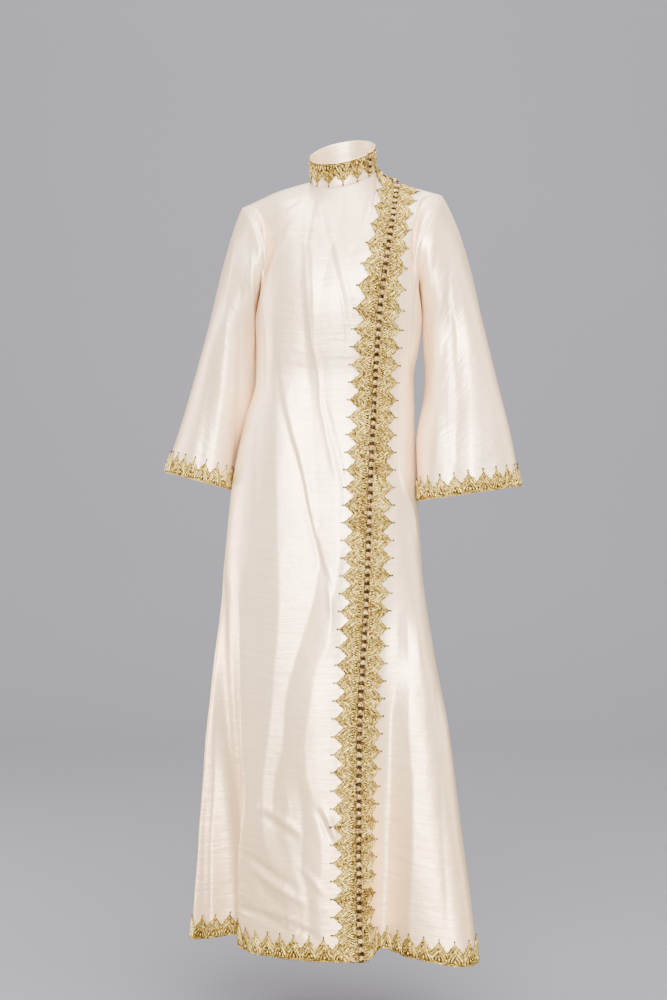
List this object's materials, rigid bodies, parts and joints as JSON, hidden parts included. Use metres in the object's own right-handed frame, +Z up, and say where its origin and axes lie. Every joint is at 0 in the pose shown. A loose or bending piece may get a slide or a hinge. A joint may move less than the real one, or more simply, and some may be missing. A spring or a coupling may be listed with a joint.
{
  "type": "full-length stand-collar gown",
  "caption": "Long A-line silk gown in its worn hollow form: stand collar, flared sleeves, toothed gold braid at every edge and a close row of knotted buttons from shoulder to hem.",
  "frame": {"origin": "middle of the neck's base, where the wearer's neck and shoulders hold the gown", "axes": "+Z up the worn gown, the front faces -Y, +X to the wearer's left"},
  "size_m": [0.6459, 0.4154, 1.4573],
  "materials": {
    "silk": "slubbed silk with a soft sheen",
    "gold_braid": "gold metal-thread braid",
    "gold_knots": "knotted gold cord"
  },
  "bodies": {
    "root": {"front_right": "silk", "front_left": "silk", "back": "silk", "sleeve_right": "silk", "sleeve_left": "silk", "collar": "silk", "braid_front_right": "gold_braid", "braid_front_left": "gold_braid", "braid_hem_right": "gold_braid", "braid_hem_left": "gold_braid", "braid_hem_back": "gold_braid", "braid_cuff_right": "gold_braid", "braid_cuff_left": "gold_braid", "braid_collar": "gold_braid", "buttons_low": "gold_knots", "buttons_middle": "gold_knots", "buttons_high": "gold_knots", "buttons_shoulder": "gold_knots", "buttons_collar": "gold_knots"}
  },
  "joints": []
}
